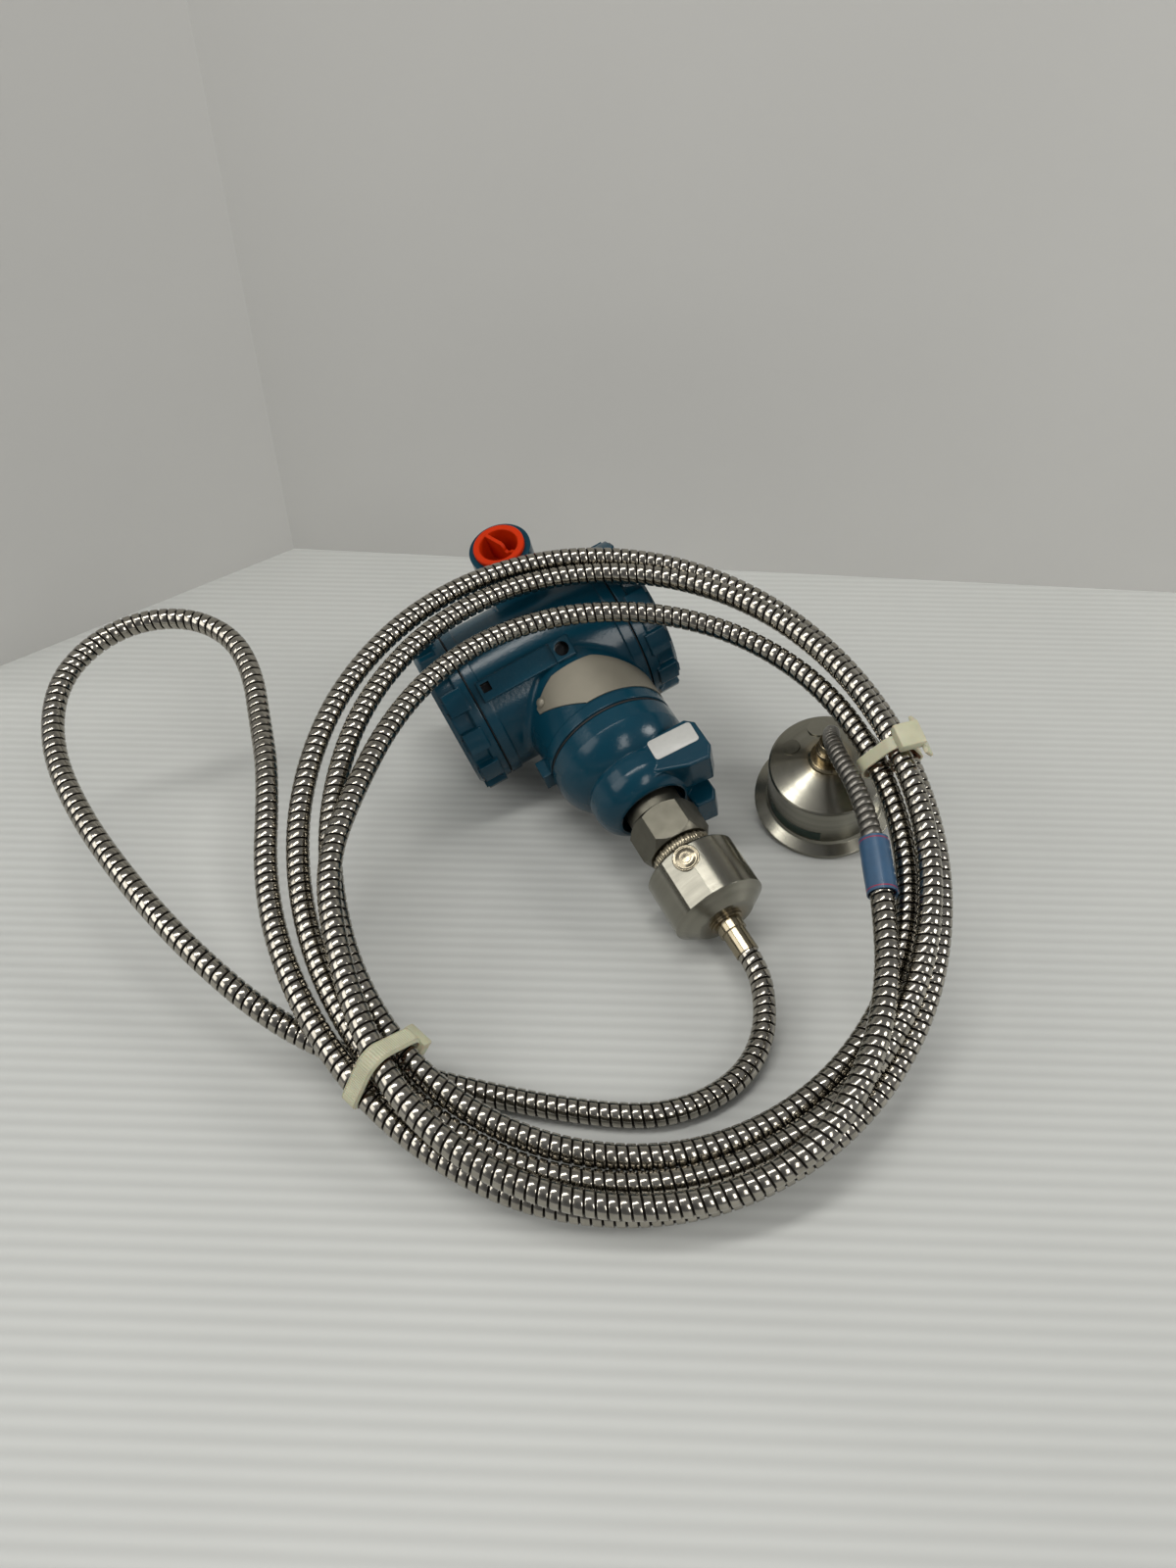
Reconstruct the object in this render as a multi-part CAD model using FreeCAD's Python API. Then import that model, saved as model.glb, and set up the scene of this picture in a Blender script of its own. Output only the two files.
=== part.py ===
import FreeCAD, Part
import math
import os

V = FreeCAD.Vector
os.makedirs("parts", exist_ok=True)

# Driving dimensions, in mm
FIT = 0.3                 # gap between pieces that turn against each other
SEAT = 0.05               # gap of a seated piece
OVER = 1.0                # how far a cutting tool reaches past the face that it cuts

# Electronics housing: the covers' axis is X, the neck points along -Y, the conduits along Z
CAVITY_R = 31.0           # bore of both compartments
BARREL_WALL = 5.0
RIM_WALL = 6.0
RIM_W = 5.0
HOUSING_LEFT = -44.0
HOUSING_RIGHT = 32.2
BULKHEAD_LEFT = -12.0
BULKHEAD_RIGHT = 11.0
BARREL_R = CAVITY_R + BARREL_WALL
RIM_R = CAVITY_R + RIM_WALL
SADDLE_FILLET = 4.0       # casting fillet between the barrel and the neck
EDGE_FILLET = 1.0
STRIP_W = 9.6             # raised strip along the barrel, with a square pad at its end
STRIP_RISE = 3.2
STRIP_END = 5.2
PAD_TURN = 32.3           # angle of the strip round the barrel
PAD_RISE = 4.4
PAD_L = 9.2
PAD_HOLE_R = 3.2
PAD_HOLE_L = 7.0
NOTCH_W = 4.2
WIRE_R = 5.0              # wire ways from the conduits and to the sensor
PASSAGE_Y = -20.0

# Covers and their gaskets
GASKET_T = 0.9
GASKET_INSET = 0.8
COVER_DEPTH = 15.0
COVER_WALL = 4.0
COVER_BAND = 4.5          # plain band beside the gasket
COVER_STEP = 1.6
CROWN_T = 2.0
SPIGOT_L = 9.0
SPIGOT_T = 4.7
LUG_RISE = 1.7
LUG_COUNT = 12
LUG_W = 11.0

# Conduit entries, the hand plug and the pipe plug
CONDUIT_R = 14.5
CONDUIT_BORE_R = 10.4
CONDUIT_OUT = 1.4         # conduit axis behind the back of the barrel
CONDUIT_RISE = 8.2        # conduit face past the rim
CONDUIT_STOP = 14.0
PLUG_LIP = 1.6
PLUG_LIP_T = 2.6
PLUG_L = 14.0
PLUG_WALL = 1.6
PLUG_FLOOR = 3.0
PLUG_WEB = 1.6
PIPE_PLUG_L = 12.0
PIPE_PLUG_HEX = 22.0
PLUG_STANDOFF = 4.0       # thread left showing on the pipe plug
PLUG_HEAD = 9.0
CONDUIT_Y = BARREL_R + CONDUIT_OUT
CONDUIT_TOP = RIM_R + CONDUIT_RISE

# Terminals and electronics
BLOCK_GAP = 1.5
BLOCK_T = 12.0
RIDGE_T = 4.0
RIDGE_W = 10.0
RIDGE_L = 40.0
TERMINAL_PITCH = 13.0
TERMINAL_R = 3.2
MODULE_BOARD_T = 9.0
WIRE_Y = CAVITY_R - 5.5

# Neck and nameplate
NECK_R = 30.4
NECK_L = 21.4
NECK_WALL = 13.9
NECK_BORE_L = 27.4
COLLAR_RISE = 0.4
COLLAR_L = 5.5
NECK_GAP = 1.0
PLATE_T = 0.6
PLATE_LOW = 6.4           # lower edge of the plate above the neck's end
PLATE_TOP = 28.8          # upper edge above the neck's end, as far as the saddle leaves room
PLATE_GAP = 5.0           # plate's upper edge below the saddle
PLATE_LEFT = -22.4        # left end, with its lower corner cut off
PLATE_CUT = 19.3
PLATE_CUT_L = 13.2
DRIVE_SCREW_R = 2.2
DRIVE_SCREW_TURN = -39.0
DRIVE_SCREW_Y = 22.6      # above the neck's end
NECK_END = -(BARREL_R + NECK_L)
NECK_BORE_R = NECK_R - NECK_WALL
MODULE_TOP = NECK_END - NECK_GAP

# Sensor module, with a lug for the mounting bracket
MODULE_R = 30.8
FLANGE_T = 8.8
WAIST_R = 22.7
WAIST_L = 20.6
DOME_R = 23.5
DOME_ROUND = 6.5
MODULE_L = 38.0
SOCKET_R = 15.6
SOCKET_L = 13.0
LUG_FACE = 32.5
FIN_FACE = 28.0
BRACKET_HOLE_R = 3.4
BRACKET_HOLE_L = 12.0
BRACKET_HOLE_Y = 28.0     # below the module's top
BRACKET_HOLE_Z = 12.0
FIN_HOLE_Z = -11.5
MODULE_END = MODULE_TOP - MODULE_L

# Process connection, adapter and capillary fitting
HEX_FLATS = 27.7
HEX_GAP = 5.1
HEX_L = 17.2
HEX_NECK_R = 12.6
WELD_NECK_R = 11.5
WELD_L = 8.1
WELD_T = 2.1
ADAPTER_R = 20.2
ADAPTER_L = 24.4
ADAPTER_TAPER = 5.3
ADAPTER_NOSE_R = 12.7
ADAPTER_BOSS_R = 7.2
ADAPTER_BOSS_L = 1.5
ADAPTER_FLAT = 19.5
ADAPTER_FLAT_TURN = -20.0
FILL_PLUG_R = 5.2
FILL_PLUG_TURN = -7.5
FILL_PLUG_SEAT = 18.9      # seat of the fill plug from the axis
FITTING_R = 5.8
FITTING_L = 4.5
SLEEVE_R = 5.0
SLEEVE_L = 10.5
HEX_TOP = MODULE_END - HEX_GAP
HEX_END = HEX_TOP - HEX_L
ADAPTER_TOP = HEX_END - WELD_L
ADAPTER_EDGE = ADAPTER_TOP - ADAPTER_L
ADAPTER_END = ADAPTER_EDGE - ADAPTER_TAPER
BOSS_END = ADAPTER_END - ADAPTER_BOSS_L
FITTING_END = BOSS_END - FITTING_L - SLEEVE_L

# Diaphragm seal: Z is its axis, from the clamped face
FERRULE_R = 32.0          # two inch clamp ferrule
FERRULE_EDGE = 2.7
FERRULE_BACK = 6.0
GASKET_GROOVE_R = 28.1
GASKET_GROOVE_W = 2.8
GASKET_GROOVE_T = 1.4
SEAL_R = 26.1
SEAL_L = 30.7
SEAL_CONE = 4.8
SEAL_HUB_R = 9.0
SEAL_HUB_L = 3.0
SEAL_SLEEVE_L = 11.5
SEAL_COLLAR_R = 6.0
SEAL_COLLAR_L = 6.0
SEAL_SLEEVE_R = 4.9
SEAL_BORE_R = 1.0
SEAL_PLUG_R = 17.6        # radius at which the weld plugs lie
DIAPHRAGM_R = 24.5
DIAPHRAGM_DEPTH = 1.6
DIAPHRAGM_T = 0.3
TAPE_T = 0.23
TAPE_LOW = 7.5
TAPE_W = 6.0
SEAL_CONE_TOP = SEAL_L + SEAL_CONE
SEAL_HUB_TOP = SEAL_CONE_TOP + SEAL_HUB_L
SEAL_SLEEVE_Z = SEAL_HUB_TOP + SEAL_SLEEVE_L

# Armoured capillary, its ties and its tag
CAPILLARY_D = 9.0
EXIT_RUN = 10.0
ARRIVE_RUN = 8.5
TIE_T = 1.3
TIE_W = 4.8
TIE_SLACK = 1.0
TIE_HEAD_L = 10.0
TIE_HEAD_W = 9.6
TIE_HEAD_T = 5.0
TAG_L = 23.0
TAG_GAP = 0.7
TAG_T = 0.5

# Resting pose of the transmitter and of the seal
TX_POSE = FreeCAD.Placement(V(-44.05, 43.5, 54.715), FreeCAD.Rotation(23.43, -18.5, 14.145))
SEAL_X = 81.86
SEAL_Y = -7.09
SEAL_Z = 11.02
SEAL_AXIS = V(-0.124, -0.327, 0.937)
SEAL_POSE = FreeCAD.Placement(V(SEAL_X, SEAL_Y, SEAL_Z), FreeCAD.Rotation(V(0, 0, 1), SEAL_AXIS))

# Coil: three turns spiral inwards on a plane that leans on the housing
COIL_CENTRE = V(-21.5, -81.4, 59.2)
COIL_LEAN = 21.7
COIL_R = 134.65
COIL_OVAL = 6.95
COIL_OVAL_TURN = 106.4
COIL_STEP = 9.6
COIL_EASE = 3.4
COIL_GATHER = 0.22        # how far the left tie draws the turns together
COIL_SAG = 12.0
COIL_SAG_SPAN = 150.0
COIL_LIFT = 9.6
COIL_START = 170.0
COIL_TURNS = 3
COIL_POINTS = 16          # points in each turn
LEFT_TIE = 229.0
LEFT_HEAD_TURN = -100.0   # the left tie's head lies inside the coil, out of sight
RIGHT_TIE = 18.0
TAIL_AT_TIE = (121.7, 11.5)

# Route of the free stretches, chosen by hand in the row's frame
LEAD_ROUTE = [(41.6, -126, 9.9), (39.2, -139, 7.6), (32.3, -151.5, 6), (22, -161.5, 5.1), (8.5, -169, 4.8),
              (-9, -173, 4.8), (-36, -170, 4.8), (-64, -164, 5), (-92, -159, 9), (-120, -154, 16),
              (-147, -144, 26), (-176, -125, 38.5), (-204, -100, 48), (-230, -72, 58.5), (-249, -43, 69),
              (-254, -15, 80), (-245, 6, 87), (-227, 18, 92), (-204, 20, 93), (-184, 11, 89),
              (-172, -7, 82.5), (-165, -31, 73.5)]
SEAL_ROUTE = [(-123, -80, 68.2), (-126, -105, 61.2), (-120, -130.5, 51), (-109, -157, 40.6),
              (-93, -182, 31), (-68, -201, 23.1), (-38, -212, 18.8), (-7, -215, 17.9),
              (23, -210, 20.9), (48, -198, 29.6), (66, -176, 40.3), (77, -146, 47.4), (80, -115, 55.2),
              (80, -87, 63.3), (77, -66, 69), (72.5, -52, 71.5), (71, -39, 71.5)]
TAG_FROM, TAG_TO = SEAL_ROUTE[12:14]


def cyl(radius, start, end, axis="x", a=0.0, b=0.0):
    low, high = min(start, end), max(start, end)
    if axis == "x":
        return Part.makeCylinder(radius, high - low, V(low, a, b), V(1, 0, 0))
    if axis == "y":
        return Part.makeCylinder(radius, high - low, V(a, low, b), V(0, 1, 0))
    return Part.makeCylinder(radius, high - low, V(a, b, low), V(0, 0, 1))


def ring(outer, inner, start, end, axis="x", a=0.0, b=0.0):
    return cyl(outer, start, end, axis, a, b).cut(cyl(inner, start, end, axis, a, b))


def box(x0, x1, y0, y1, z0, z1):
    return Part.makeBox(x1 - x0, y1 - y0, z1 - z0, V(x0, y0, z0))


def prism(points, reach):
    return Part.Face(Part.makePolygon(points + [points[0]])).extrude(reach)


def turned(points, axis):
    # Solid of revolution of a closed outline in the plane of the axis
    face = Part.Face(Part.makePolygon(points + [points[0]]))
    return face.revolve(V(0, 0, 0), axis, 360)


def turned_y(outline):
    return turned([V(r, y, 0) for r, y in outline], V(0, 1, 0))


def turned_z(outline):
    return turned([V(r, 0, z) for r, z in outline], V(0, 0, 1))


def round_x(shape, angle):
    turned_shape = shape.copy()
    turned_shape.rotate(V(0, 0, 0), V(1, 0, 0), angle)
    return turned_shape


def hexagon(flats, centre, first, second, reach):
    corner = flats / math.sqrt(3)
    angles = [math.radians(60 * k) for k in range(6)]
    points = [centre + (first * math.cos(angle) + second * math.sin(angle)) * corner for angle in angles]
    return prism(points, reach)


def save(shape, name, pose):
    placed = shape.removeSplitter() if hasattr(shape, "removeSplitter") else shape
    placed = placed.copy()
    placed.transformShape(pose.toMatrix())
    if not placed.isValid():
        print("not valid:", name)
    placed.exportStep("parts/" + name + ".step")
    print("%-20s solids %d volume %9.1f low z %6.2f" % (name, len(placed.Solids), placed.Volume,
                                                       placed.BoundBox.ZMin))
    return placed


def barrel_and_neck():
    # Two crossing cylinders with a casting fillet along the saddle where they meet
    barrel = cyl(BARREL_R, HOUSING_LEFT, HOUSING_RIGHT)
    body = barrel.fuse(cyl(NECK_R, NECK_END, 0, "y")).removeSplitter()
    saddle = [edge for edge in body.Edges if edge.BoundBox.XLength > NECK_R and edge.BoundBox.YLength > OVER
              and edge.BoundBox.YMax < -OVER]
    return body.makeFillet(SADDLE_FILLET, saddle)


def barrel_strip():
    # Raised strip with a square pad, drawn upright and then turned round the barrel
    foot = BARREL_R - 6.0
    half = STRIP_W / 2
    strip = box(HOUSING_LEFT + 3, STRIP_END, -half, half, foot, BARREL_R + STRIP_RISE)
    pad = box(STRIP_END - 0.5 - PAD_L, STRIP_END - 0.5, -half, half, foot, BARREL_R + PAD_RISE)
    top = BARREL_R + PAD_RISE
    hole = cyl(PAD_HOLE_R, top - PAD_HOLE_L, top + OVER, "z", STRIP_END - 0.5 - PAD_L / 2, 0)
    left = HOUSING_LEFT + 4.5
    notch = box(left, left + NOTCH_W, -1, NOTCH_W - 1, BARREL_R + STRIP_RISE - 4.8, top)
    return round_x(strip.fuse(pad), PAD_TURN), round_x(hole.fuse(notch), PAD_TURN)


def housing():
    body = barrel_and_neck()
    for end in (HOUSING_LEFT, HOUSING_RIGHT - RIM_W):
        body = body.fuse(cyl(RIM_R, end, end + RIM_W))
    body = body.fuse(cyl(CONDUIT_R, -CONDUIT_TOP, CONDUIT_TOP, "z", 0, CONDUIT_Y))
    shoulder = RIM_R - 4
    body = body.fuse(box(-CONDUIT_R, CONDUIT_R, CAVITY_R / 3, CONDUIT_Y, -shoulder, shoulder))
    body = body.fuse(cyl(NECK_R + COLLAR_RISE, NECK_END, NECK_END + COLLAR_L, "y"))
    body = body.fuse(stop_lug())
    raised, sunk = barrel_strip()
    return housing_bores(body.fuse(raised).cut(sunk))


def stop_lug():
    # Small stop for the housing's turn on the sensor module
    reach = NECK_R + COLLAR_RISE
    return box(-reach - 3.8, -reach + 4.2, NECK_END, NECK_END + 9, -6, 4)


def housing_bores(body):
    body = body.cut(cyl(CAVITY_R, HOUSING_LEFT - OVER, BULKHEAD_LEFT))
    body = body.cut(cyl(CAVITY_R, BULKHEAD_RIGHT, HOUSING_RIGHT + OVER))
    for side in (-1, 1):
        stop = side * CONDUIT_STOP
        body = body.cut(cyl(CONDUIT_BORE_R, stop, side * (CONDUIT_TOP + OVER), "z", 0, CONDUIT_Y))
        body = body.cut(cyl(WIRE_R, BULKHEAD_LEFT - OVER, 0, "x", WIRE_Y, stop + side * WIRE_R))
    bore_top = NECK_END + NECK_BORE_L
    body = body.cut(cyl(NECK_BORE_R, NECK_END - OVER, bore_top, "y"))
    body = body.cut(cyl(WIRE_R, bore_top - OVER, PASSAGE_Y + WIRE_R, "y"))
    return body.cut(cyl(WIRE_R, -2, BULKHEAD_RIGHT + OVER, "x", PASSAGE_Y, 0))


def cover():
    # Drawn for the right end: x is measured outwards from the gasket
    crown = COVER_DEPTH - CROWN_T
    side = RIM_R - COVER_STEP
    outer = CAVITY_R - FIT
    outline = [(0, COVER_DEPTH - COVER_WALL), (outer - SPIGOT_T, COVER_DEPTH - COVER_WALL),
               (outer - SPIGOT_T, -SPIGOT_L), (outer, -SPIGOT_L), (outer, 0), (RIM_R, 0),
               (RIM_R, COVER_BAND), (side, COVER_BAND + 1), (side, crown), (side - 2.4, COVER_DEPTH),
               (side - 6.4, COVER_DEPTH), (side - 7.4, COVER_DEPTH - 1), (0, COVER_DEPTH - 1)]
    shape = turned([V(x, r, 0) for r, x in outline], V(1, 0, 0))
    reach = RIM_R + LUG_RISE
    foot = RIM_R - 6
    low = COVER_BAND - 1.5
    lug = box(low, crown - 0.5, -LUG_W / 2, LUG_W / 2, foot, reach)
    low_lug = box(low, crown + 0.6, -LUG_W / 4, LUG_W / 4, foot, reach - 1.0)
    trim = cyl(reach, 0, COVER_DEPTH)
    for k in range(LUG_COUNT):
        shape = shape.fuse(round_x(lug.fuse(low_lug), 360.0 * k / LUG_COUNT).common(trim))
    return shape


def gasket(side):
    start = HOUSING_LEFT if side < 0 else HOUSING_RIGHT
    return ring(RIM_R - GASKET_INSET, CAVITY_R + FIT, start, start + side * (GASKET_T - FIT))


def placed_cover(side):
    shape = cover()
    if side < 0:
        shape.rotate(V(0, 0, 0), V(0, 0, 1), 180)
        shape.translate(V(HOUSING_LEFT - GASKET_T, 0, 0))
    else:
        shape.translate(V(HOUSING_RIGHT + GASKET_T, 0, 0))
    return shape


def conduit_plug():
    # Hollow hand plug with a notched web across it
    lip = CONDUIT_TOP + SEAT
    outer = CONDUIT_BORE_R - FIT
    floor = lip - PLUG_L + PLUG_FLOOR
    shape = cyl(outer, lip - PLUG_L, lip, "z", 0, CONDUIT_Y)
    shape = shape.fuse(cyl(CONDUIT_BORE_R + PLUG_LIP, lip, lip + PLUG_LIP_T, "z", 0, CONDUIT_Y))
    shape = shape.cut(cyl(outer - PLUG_WALL, floor, lip + PLUG_LIP_T + OVER, "z", 0, CONDUIT_Y))
    reach = outer - PLUG_WALL / 2
    half = PLUG_WEB / 2
    web = box(-reach, reach, CONDUIT_Y - half, CONDUIT_Y + half, floor - 0.5, lip + 1.2)
    notch = [V(-3, CONDUIT_Y - 2, lip + 2), V(3, CONDUIT_Y - 2, lip + 2), V(0, CONDUIT_Y - 2, lip - 3)]
    return shape.fuse(web.cut(prism(notch, V(0, 4, 0))))


def blanking_plug():
    # Hex head pipe plug of the lower conduit entry
    face = -CONDUIT_TOP - SEAT
    head_top = face - PLUG_STANDOFF
    shape = cyl(CONDUIT_BORE_R - SEAT, head_top, face + PIPE_PLUG_L, "z", 0, CONDUIT_Y)
    head = hexagon(PIPE_PLUG_HEX, V(0, CONDUIT_Y, head_top), V(1, 0, 0), V(0, 1, 0), V(0, 0, -PLUG_HEAD))
    return shape.fuse(head)


def nameplate():
    # Curved plate on the neck: its upper edge gives way to the saddle, its lower left corner is cut off
    low = NECK_END + PLATE_LOW
    plate = ring(NECK_R + PLATE_T + SEAT, NECK_R + SEAT, low, NECK_END + PLATE_TOP, "y")
    plate = plate.common(box(PLATE_LEFT, 40, -90, 0, -20, 40))
    reach = 2 * NECK_R
    corner = [V(PLATE_LEFT, low, -reach), V(PLATE_LEFT + PLATE_CUT, low, -reach),
              V(PLATE_LEFT, low + PLATE_CUT_L, -reach)]
    plate = plate.cut(prism(corner, V(0, 0, 2 * reach)))
    plate = plate.cut(cyl(BARREL_R + PLATE_GAP, -reach, reach))
    return max(plate.Solids, key=lambda solid: solid.Volume)


def plate_screw():
    reach = NECK_R + PLATE_T + 2 * SEAT
    shape = cyl(DRIVE_SCREW_R, reach, reach + 1.4, "z", 0, NECK_END + DRIVE_SCREW_Y)
    shape.rotate(V(0, 0, 0), V(0, 1, 0), DRIVE_SCREW_TURN)
    return shape


def terminal_block():
    face = BULKHEAD_LEFT - BLOCK_T
    shape = cyl(CAVITY_R - BLOCK_GAP, BULKHEAD_LEFT, face)
    clear = WIRE_Y - WIRE_R - 3.5
    shape = shape.cut(box(face - OVER, 0, clear, CAVITY_R + OVER, -CAVITY_R, CAVITY_R))
    return shape.fuse(box(face - RIDGE_T, face, -2 - RIDGE_W, -2, -RIDGE_L / 2, RIDGE_L / 2))


def terminal_screws():
    face = BULKHEAD_LEFT - BLOCK_T - RIDGE_T
    rows = (-TERMINAL_PITCH, 0, TERMINAL_PITCH)
    return Part.makeCompound([cyl(TERMINAL_R, face, face - 2.4, "x", -2 - RIDGE_W / 2, z) for z in rows])


def electronics_module():
    face = BULKHEAD_RIGHT + MODULE_BOARD_T
    shape = cyl(CAVITY_R - BLOCK_GAP, BULKHEAD_RIGHT, face)
    return shape.fuse(box(face, face + 3, -14, 14, -5, 5))


def module_outline():
    # Flange, hollow waist and round dome, from the axis out and back
    def at(r, down):
        return V(r, MODULE_TOP - down, 0)

    def arc(first, middle, last):
        return Part.Arc(at(*first), at(*middle), at(*last)).toShape()

    def run(*corners):
        return [Part.LineSegment(at(*a), at(*b)).toShape() for a, b in zip(corners, corners[1:])]

    waist = (WAIST_R, WAIST_L)
    dome_low = (DOME_R, MODULE_L - 9.5)
    nose = (DOME_R - DOME_ROUND, MODULE_L)
    edges = run((0, 0), (MODULE_R - 1, 0), (MODULE_R, 1), (MODULE_R, FLANGE_T))
    hip = (MODULE_R * 0.7 + WAIST_R * 0.3, (FLANGE_T + WAIST_L) / 2)
    edges.append(arc((MODULE_R, FLANGE_T), hip, waist))
    edges.append(arc(waist, (DOME_R - 0.2, WAIST_L + 1.7), (DOME_R, WAIST_L + 3.6)))
    edges += run((DOME_R, WAIST_L + 3.6), dome_low)
    edges.append(arc(dome_low, (DOME_R - DOME_ROUND * 0.25, MODULE_L - 4.4), nose))
    floor = MODULE_L - SOCKET_L
    edges += run(nose, (SOCKET_R, MODULE_L), (SOCKET_R, floor), (0, floor), (0, 0))
    return Part.Face(Part.Wire(edges))


def sensor_module():
    shape = module_outline().revolve(V(0, 0, 0), V(0, 1, 0), 360).fuse(bracket_block())
    shape = shape.cut(cyl(SOCKET_R, MODULE_END - 20, MODULE_END + SOCKET_L, "y"))
    hole_y = MODULE_TOP - BRACKET_HOLE_Y
    for face, z in ((LUG_FACE, BRACKET_HOLE_Z), (FIN_FACE, FIN_HOLE_Z)):
        shape = shape.cut(cyl(BRACKET_HOLE_R, face - BRACKET_HOLE_L, face + OVER, "x", hole_y, z))
    return shape


def bracket_block():
    # Side lug for the mounting bracket, with a notch between its two horns, drawn down from the module's top
    top = [(2, -18.1), (LUG_FACE - 3.5, -18.1), (LUG_FACE, -21.5), (LUG_FACE, -35), (LUG_FACE - 3.5, -40.2),
           (LUG_FACE - 12.5, -39.2), (2, -32)]
    low = [(2, -20), (FIN_FACE, -20), (FIN_FACE, -42), (FIN_FACE - 2.5, -46.3), (FIN_FACE - 11, -45.4),
           (FIN_FACE - 12, -36.4), (2, -32)]
    upper = prism([V(x, y, 3) for x, y in top], V(0, 0, 18.5))
    lower = prism([V(x, y, -20) for x, y in low], V(0, 0, 17))
    upper = upper.makeFillet(EDGE_FILLET, upper.Edges)
    lower = lower.makeFillet(EDGE_FILLET, lower.Edges)
    block = upper.fuse(lower).fuse(box(2, 22, -35, -20.5, -19, 20.5))
    block.translate(V(0, MODULE_TOP, 0))
    return block


def hex_connection():
    corner = HEX_FLATS / math.sqrt(3) - 0.1
    flat = HEX_FLATS / 2 - 0.1
    shape = hexagon(HEX_FLATS, V(0, HEX_END, 0), V(1, 0, 0), V(0, 0, 1), V(0, HEX_L, 0))
    shape = shape.common(turned_y([(0, HEX_END), (flat, HEX_END), (corner, HEX_END + 3),
                                   (corner, HEX_TOP - 2), (flat, HEX_TOP), (0, HEX_TOP)]))
    shape = shape.fuse(cyl(HEX_NECK_R, HEX_TOP, MODULE_END + SOCKET_L, "y"))
    return shape.fuse(cyl(WELD_NECK_R, ADAPTER_TOP, HEX_END, "y"))


def weld_bead():
    return ring(WELD_NECK_R + WELD_T, WELD_NECK_R + SEAT, ADAPTER_TOP, HEX_END, "y")


def seal_adapter():
    outline = [(0, ADAPTER_TOP), (ADAPTER_R - 1, ADAPTER_TOP), (ADAPTER_R, ADAPTER_TOP - 1),
               (ADAPTER_R, ADAPTER_EDGE), (ADAPTER_NOSE_R, ADAPTER_END), (ADAPTER_BOSS_R, ADAPTER_END),
               (ADAPTER_BOSS_R, BOSS_END), (0, BOSS_END)]
    flat = box(-ADAPTER_R, ADAPTER_R, ADAPTER_EDGE, ADAPTER_TOP + OVER, ADAPTER_FLAT, ADAPTER_R + OVER)
    flat.rotate(V(0, 0, 0), V(0, 1, 0), ADAPTER_FLAT_TURN)
    return turned_y(outline).cut(flat).cut(fill_plug(FILL_PLUG_R + SEAT, ADAPTER_R + OVER))


def fill_plug(radius, top):
    shape = cyl(radius, FILL_PLUG_SEAT, top, "z", 0, ADAPTER_TOP - FILL_PLUG_R - 0.4)
    shape.rotate(V(0, 0, 0), V(0, 1, 0), FILL_PLUG_TURN)
    return shape


def adapter_fill_plug():
    return fill_plug(FILL_PLUG_R, ADAPTER_R + 0.6)


def capillary_fitting():
    step = BOSS_END - FITTING_L
    return cyl(FITTING_R, BOSS_END, step, "y").fuse(cyl(SLEEVE_R, step, FITTING_END, "y"))


def seal_body():
    groove_in = GASKET_GROOVE_R - GASKET_GROOVE_W / 2
    groove_out = GASKET_GROOVE_R + GASKET_GROOVE_W / 2
    outline = [(0, DIAPHRAGM_DEPTH), (DIAPHRAGM_R, DIAPHRAGM_DEPTH), (DIAPHRAGM_R, 0),
               (groove_in - 0.3, 0), (groove_in + 0.3, GASKET_GROOVE_T), (groove_out - 0.3, GASKET_GROOVE_T),
               (groove_out + 0.3, 0), (FERRULE_R - 0.5, 0), (FERRULE_R, 0.5), (FERRULE_R, FERRULE_EDGE),
               (FERRULE_R - 5.0, FERRULE_BACK - 1.4), (SEAL_R, FERRULE_BACK), (SEAL_R, SEAL_L - 0.8),
               (SEAL_R - 0.8, SEAL_L), (SEAL_HUB_R + 1.5, SEAL_CONE_TOP), (SEAL_HUB_R, SEAL_CONE_TOP + 0.6),
               (SEAL_HUB_R, SEAL_HUB_TOP - 1), (SEAL_HUB_R - 1, SEAL_HUB_TOP), (0, SEAL_HUB_TOP)]
    return turned_z(outline).cut(cyl(SEAL_BORE_R, 0, SEAL_HUB_TOP + OVER, "z"))


def diaphragm():
    middle = DIAPHRAGM_DEPTH / 2
    return cyl(DIAPHRAGM_R - SEAT, middle - DIAPHRAGM_T / 2, middle + DIAPHRAGM_T / 2, "z")


def seal_fitting():
    step = SEAL_HUB_TOP + SEAL_COLLAR_L
    return cyl(SEAL_COLLAR_R, SEAL_HUB_TOP, step, "z").fuse(cyl(SEAL_SLEEVE_R, step, SEAL_SLEEVE_Z, "z"))


def seal_weld_plug(angle, radius):
    # Welded plug on the seal's cone
    slope = math.degrees(math.atan2(SEAL_CONE, SEAL_R - SEAL_HUB_R - 2.3))
    shape = cyl(radius, 0, 0.5, "z")
    shape.rotate(V(0, 0, 0), V(0, 1, 0), slope)
    height = SEAL_CONE_TOP - (SEAL_PLUG_R - SEAL_HUB_R - 1.5) * math.tan(math.radians(slope))
    shape.translate(V(SEAL_PLUG_R, 0, height + SEAT / 2))
    shape.rotate(V(0, 0, 0), V(0, 0, 1), angle)
    return shape


def tape_band():
    inner = SEAL_R + SEAT / 2
    band = ring(inner + TAPE_T, inner, TAPE_LOW, TAPE_LOW + TAPE_W, "z")
    wedge = Part.makeCylinder(SEAL_R + OVER, SEAL_L, V(0, 0, 0), V(0, 0, 1), 62)
    wedge.rotate(V(0, 0, 0), V(0, 0, 1), 196)
    return band.common(wedge)


def coil_axes(angle):
    # Directions outwards, along the strand and off the plane at an angle of the coil
    lean = math.radians(COIL_LEAN)
    uphill = V(0, math.cos(lean), math.sin(lean))
    normal = V(0, -math.sin(lean), math.cos(lean))
    outwards = V(1, 0, 0) * math.cos(math.radians(angle)) + uphill * math.sin(math.radians(angle))
    return outwards, normal.cross(outwards), normal


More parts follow.
